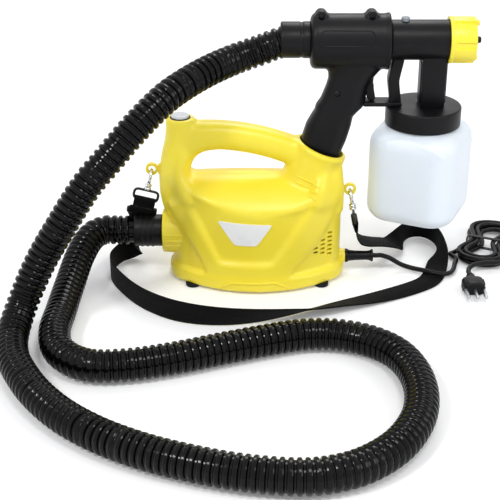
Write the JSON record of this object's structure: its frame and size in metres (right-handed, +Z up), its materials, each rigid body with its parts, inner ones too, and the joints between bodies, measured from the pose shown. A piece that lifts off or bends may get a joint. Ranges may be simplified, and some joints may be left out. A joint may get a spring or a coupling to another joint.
{
  "type": "turbine paint sprayer",
  "caption": "Floor blower with a carrying handle and a spray gun stood in its holster, joined by a ribbed air hose; side cup, mains lead tied in a hank, shoulder strap.",
  "frame": {"origin": "middle of the base on the floor", "axes": "+Z up, +X towards the gun and its cup, -Y towards the front, where the hose lies"},
  "size_m": [0.5808, 0.5341, 0.3035],
  "materials": {
    "yellow_abs": "satin moulded",
    "black_abs": "fine moulded texture",
    "rubber": "matt",
    "plate": "gloss film",
    "button": "gloss",
    "release": "satin",
    "can": "satin",
    "cast": "cast",
    "core": "varnished laminations",
    "steel": "ground",
    "chrome": "polished",
    "copper": "turned",
    "brass": "turned",
    "carbon": "pressed",
    "foam": "open foam",
    "fan": "moulded",
    "hose": "gloss corrugated",
    "cable": "semi-gloss",
    "webbing": "woven",
    "cup": "translucent blown",
    "tube": "extruded"
  },
  "bodies": {
    "blower": {"housing_front": "yellow_abs", "housing_rear": "yellow_abs", "housing_screws": "steel", "rubber_feet": "rubber", "front_plate": "plate", "switch_bezel": "black_abs", "switch_body": "black_abs", "outlet_socket": "black_abs", "strain_relief": "rubber", "motor_can": "can", "motor_end_plate": "cast", "stator_core": "core", "motor_bearings": "steel", "brush_holders": "brass", "carbon_brushes": "carbon", "fan_shroud": "black_abs", "air_filter": "foam", "hose": "hose", "hose_cuff_blower": "black_abs", "mains_lead": "cable", "lead_hank": "cable", "hank_tie": "black_abs", "plug_body": "black_abs", "plug_pins": "steel", "shoulder_strap": "webbing"},
    "gun": {"hose_cuff_gun": "black_abs", "gun_shell_front": "black_abs", "gun_shell_rear": "black_abs", "gun_screws": "steel", "front_barrel": "black_abs", "trigger_guard": "black_abs", "trigger_pin": "steel", "needle_spring": "steel", "packing_nut": "brass", "fluid_nozzle": "black_abs", "cup_lid": "black_abs", "lid_gasket": "rubber", "pickup_tube": "tube"},
    "rotor": {"motor_shaft": "steel", "armature": "core", "commutator": "copper", "impeller": "fan", "fan_nut": "steel"},
    "switch_button": {"switch_button": "button"},
    "trigger": {"trigger": "black_abs"},
    "flow_screw": {"flow_screw": "chrome"},
    "needle": {"needle": "steel"},
    "air_cap": {"air_cap": "yellow_abs"},
    "release_button": {"release_button": "release"},
    "cup": {"cup": "cup"},
    "hook_left": {"hook_left": "chrome"},
    "hook_right": {"hook_right": "chrome"},
    "gate_left": {"gate_left": "chrome"},
    "gate_right": {"gate_right": "chrome"},
    "strap_end_left": {"ring_left": "chrome", "strap_loop_left": "webbing"},
    "strap_end_right": {"ring_right": "chrome", "strap_loop_right": "webbing"}
  },
  "joints": [
    {"name": "gun_lift", "type": "slide", "parent": "blower", "child": "gun", "axis": [0.3746, 0, 0.9272], "range_m": [0, 0.09], "deforming": ["hose"]},
    {"name": "rotor_spin", "type": "hinge", "parent": "blower", "child": "rotor", "pos_m": [0, 0, 0.052], "axis": [1, 0, 0], "continuous": true},
    {"name": "switch_press", "type": "slide", "parent": "blower", "child": "switch_button", "axis": [0, 0, -1], "range_m": [0, 0.0025], "stiffness_N_per_m": 800, "springref_m": -0.0015},
    {"name": "trigger_pull", "type": "hinge", "parent": "gun", "child": "trigger", "pos_m": [0.122, 0, 0.284], "axis": [0, 1, 0], "range_deg": [0, 12], "stiffness_Nm_per_rad": 0.6, "springref_deg": -5.73},
    {"name": "needle_slide", "type": "slide", "parent": "gun", "child": "needle", "axis": [-1, 0, 0], "range_m": [0, 0.0034], "deforming": ["needle_spring"]},
    {"name": "flow_turn", "type": "hinge", "parent": "trigger", "child": "flow_screw", "pos_m": [0.119, 0, 0.222], "axis": [1, 0, 0], "range_deg": [-180, 180]},
    {"name": "air_cap_turn", "type": "hinge", "parent": "gun", "child": "air_cap", "pos_m": [0.21, 0, 0.273], "axis": [1, 0, 0], "range_deg": [-90, 90]},
    {"name": "release_press", "type": "slide", "parent": "gun", "child": "release_button", "axis": [0, 0, -1], "range_m": [0, 0.002], "stiffness_N_per_m": 500, "springref_m": -0.001},
    {"name": "cup_unscrew", "type": "hinge", "parent": "gun", "child": "cup", "pos_m": [0.1785, 0, 0.19], "axis": [0, 0, 1], "range_deg": [-120, 0]},
    {"name": "hook_left_swing", "type": "hinge", "parent": "blower", "child": "hook_left", "pos_m": [-0.116, 0, 0.127], "axis": [0, 1, 0], "range_deg": [-2, 8], "deforming": ["shoulder_strap"]},
    {"name": "gate_left_open", "type": "hinge", "parent": "hook_left", "child": "gate_left", "pos_m": [-0.11941, 0.00521, 0.11332], "axis": [0.9703, 0, -0.2419], "range_deg": [0, 10], "stiffness_Nm_per_rad": 0.02, "springref_deg": -5.73},
    {"name": "ring_left_swivel", "type": "hinge", "parent": "hook_left", "child": "strap_end_left", "pos_m": [-0.12326, 0, 0.09789], "axis": [0.2419, 0, 0.9703], "range_deg": [-20, 20], "deforming": ["shoulder_strap"]},
    {"name": "hook_right_swing", "type": "hinge", "parent": "blower", "child": "hook_right", "pos_m": [0.103, 0, 0.103], "axis": [0, 1, 0], "range_deg": [-8, 8], "deforming": ["shoulder_strap"]},
    {"name": "gate_right_open", "type": "hinge", "parent": "hook_right", "child": "gate_right", "pos_m": [0.10545, 0.00521, 0.08912], "axis": [0.9848, 0, 0.1736], "range_deg": [0, 10], "stiffness_Nm_per_rad": 0.02, "springref_deg": -5.73},
    {"name": "ring_right_swivel", "type": "hinge", "parent": "hook_right", "child": "strap_end_right", "pos_m": [0.10821, 0, 0.07346], "axis": [-0.1736, 0, 0.9848], "range_deg": [-20, 20], "deforming": ["shoulder_strap"]}
  ],
  "couplings": [
    {"joint": "needle_slide", "follows": "trigger_pull", "m_per_rad": 0.0157}
  ]
}
